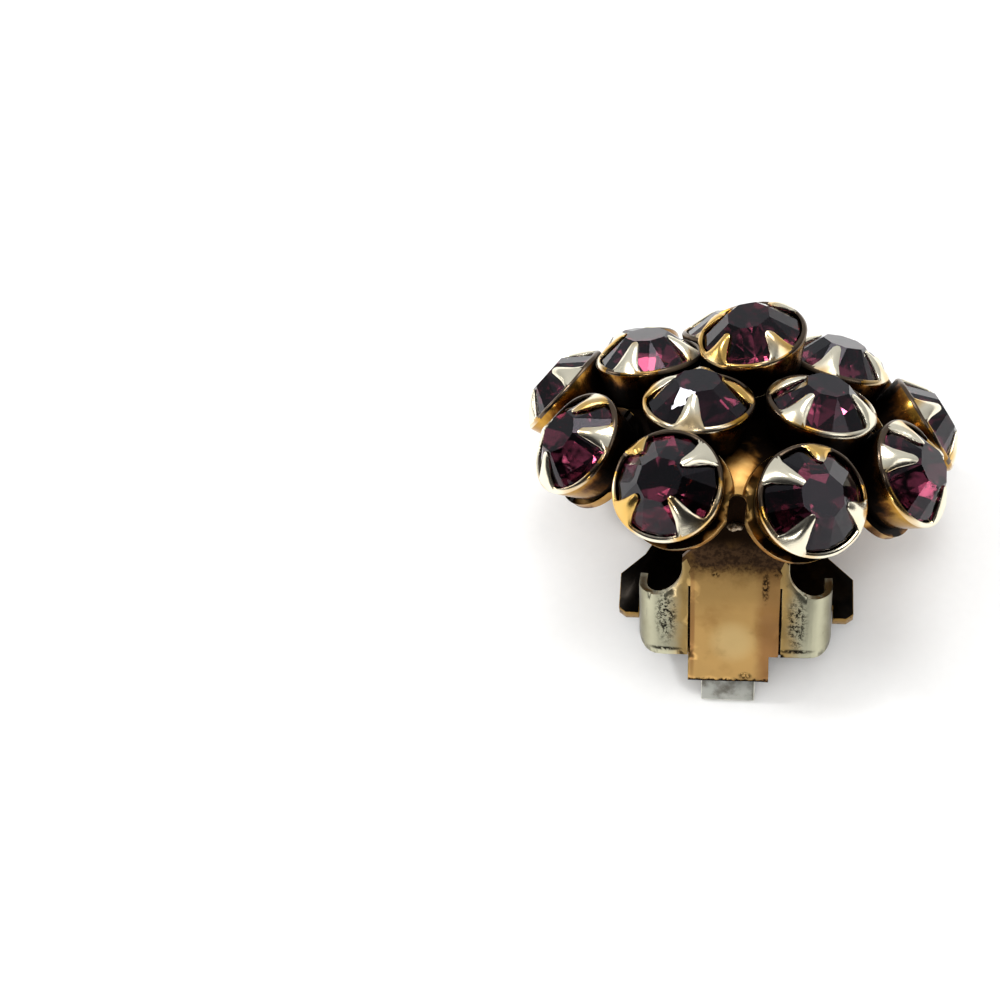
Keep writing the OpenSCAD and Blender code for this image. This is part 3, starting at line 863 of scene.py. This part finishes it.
# %% Finishes of the soldered piece
MARGIN, STRIP_BACK, STRIP_TOP, STRIP_HALF_W, EAR_TOP = 0.1, -6.9, -3.3, 2.45, -8.0
upright = rest_pose.inverted()
for face in body.faces:
    at = upright @ face.calc_center_median()
    in_strip = -STRIP_Y - MARGIN < at.y < STRIP_BACK and at.z < STRIP_TOP
    behind_strip = at.y > -STRIP_Y + STRIP_T + MARGIN
    on_ear = at.z < EAR_TOP and (abs(at.x) > STRIP_HALF_W or behind_strip)
    if face.material_index != SOLDER:
        face.material_index = EAR if on_ear else STRIP if at.z < EAR_TOP or in_strip else PLATE
setting_cups = finished(cups, "prong_cups", [cup_gold], "earring")
setting_body = finished(body, "stamped_plate_and_strip", [plate_gold, strip_gold, ear_silver, solder],
                        "earring")
for piece, values in ((setting_cups, cup_grime_and_shade), (setting_body, body_grime_and_shade)):
    piece.data.attributes.new("grime_and_shade", "FLOAT", "POINT").data.foreach_set("value", values)
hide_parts("setting")
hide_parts("setting")

# %% [markdown]
# ## The stones
#
# A round-cut stone is an octagonal table, a ring of crown facets, a thin girdle and a pointed back. Rings
# of points and a convex hull give exactly those flat facets, with no list of faces to write. The hull's
# triangles that lie in one plane are then joined.

# %% One stone, repeated in every cup
TABLE_SIDES, GIRDLE_SIDES, HALF_GIRDLE, BACK_RING_SHARE, BACK_DEPTH_SHARE = 8, 16, 0.05, 0.45, 0.6
FOIL_MEAN, FOIL_SPREAD, FOIL_GRAIN = 0.4, 1.6, 1.7


def ring(bm, sides, radius, height, start=0.0):
    """A ring of points round the stone's axis, turned by some degrees."""
    made = bmesh.ops.create_circle(bm, segments=sides, radius=radius, cap_ends=False)
    bmesh.ops.transform(bm, matrix=move(0, 0, height) @ turn(start, "Z"), verts=made["verts"])


def make_stone(seed):
    """One stone, upright at the origin. Each facet carries its own share of brightness."""
    bm = bmesh.new()
    worn = bm.faces.layers.float.new("worn")
    table_corner_r = TABLE_R / math.cos(math.pi / TABLE_SIDES)
    ring(bm, TABLE_SIDES, table_corner_r, HALF_GIRDLE + CROWN_H, 180 / TABLE_SIDES)
    ring(bm, GIRDLE_SIDES, GIRDLE_R, HALF_GIRDLE, 180 / GIRDLE_SIDES)
    ring(bm, GIRDLE_SIDES, GIRDLE_R, -HALF_GIRDLE, 180 / GIRDLE_SIDES)
    ring(bm, TABLE_SIDES, GIRDLE_R * BACK_RING_SHARE, -HALF_GIRDLE - PAVILION_H * BACK_DEPTH_SHARE)
    bmesh.ops.create_vert(bm, co=(0, 0, -HALF_GIRDLE - PAVILION_H))
    bmesh.ops.convex_hull(bm, input=bm.verts)
    bmesh.ops.delete(bm, geom=[e for e in bm.edges if not e.link_faces], context="EDGES")
    bmesh.ops.dissolve_limit(bm, angle_limit=math.radians(1), verts=bm.verts, edges=bm.edges)
    bmesh.ops.recalc_face_normals(bm, faces=bm.faces)
    for face in bm.faces:
        middle = face.calc_center_median()
        face.material_index = 1 if middle.z < -2 * HALF_GIRDLE else 0
        clouded = noise.noise(middle * FOIL_GRAIN + Vector((seed, 0, 0)))
        face[worn] = max(0, min(1, FOIL_SPREAD * clouded + FOIL_MEAN))
    return bm


for number, (name, place) in enumerate(places.items()):
    stone = make_stone(seed=5.1 * number)
    stone.transform(place)
    piece = finished(stone, f"faceted_stone_{name}", [glass, foil], "earring",
                     stands_for=(f"stone_{name}",))
    piece.data.polygons.foreach_set("use_smooth", [False] * len(piece.data.polygons))

# %% [markdown]
# ## Paddle, pin and spring
#
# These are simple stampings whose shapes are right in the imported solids. The paddle and the spring get
# rounded edges on merged copies, so that their edges catch the light, and every face that isn't broad is
# marked as worn. The pin keeps its own solid.

# %% Paddle, spring and pin
NOT_BROAD = 0.5

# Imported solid, new piece, its metal and slot, how wide its edges are rounded, and its body
STAMPINGS = (("clip_paddle", "gripping_paddle", paddle_plate, "worn_nickel_plate", 0.09, "paddle"),
             ("clip_spring", "flat_spring", spring_steel, "spring_steel", 0.05, "earring"))
for node, name, material, slot, width, body_name in STAMPINGS:
    bm = merged_copy(node, distance=0.001)
    bmesh.ops.dissolve_limit(bm, angle_limit=math.radians(1), verts=bm.verts, edges=bm.edges)
    soften_edges(bm, sharp_edges(bm, EDGE_FROM), width)
    broad = max(bm.faces, key=lambda face: face.calc_area()).normal.copy()
    worn = bm.faces.layers.float["worn"]
    for face in bm.faces:
        if abs(face.normal.dot(broad)) < NOT_BROAD:
            face[worn] = 1.0
    finished(bm, name, [material], body_name, stands_for=(node,))
nodes["hinge_pin"].data.materials.clear()
nodes["hinge_pin"].data.materials.append(pin_steel)
print("pin:", pin_steel.name)

# %% [markdown]
# ## Floor
#
# A plain pale sheet of matt paper, large enough to fill the view from every side. Its fibres make it a
# little uneven.

# %% Floor
FLOOR_HALF_SIDE = 1.5
paper, shader, add = new_material("matt_white_paper")
fibre = add("noise", add("object place"), 1 / (0.6 * MM), 2.0, 0.55)
fill(shader, {"Base Color": add("mix", fibre, "F4F4F3", "F8F8F7"), "Roughness": 0.9})
sheet = bmesh.new()
bmesh.ops.create_grid(sheet, x_segments=2, y_segments=2, size=FLOOR_HALF_SIDE)
floor_mesh = bpy.data.meshes.new("floor")
sheet.to_mesh(floor_mesh)
sheet.free()
floor = bpy.data.objects.new("floor", floor_mesh)
floor_mesh.materials.append(paper)
bpy.context.scene.collection.objects.link(floor)
print("floor side:", 2 * FLOOR_HALF_SIDE, "m")
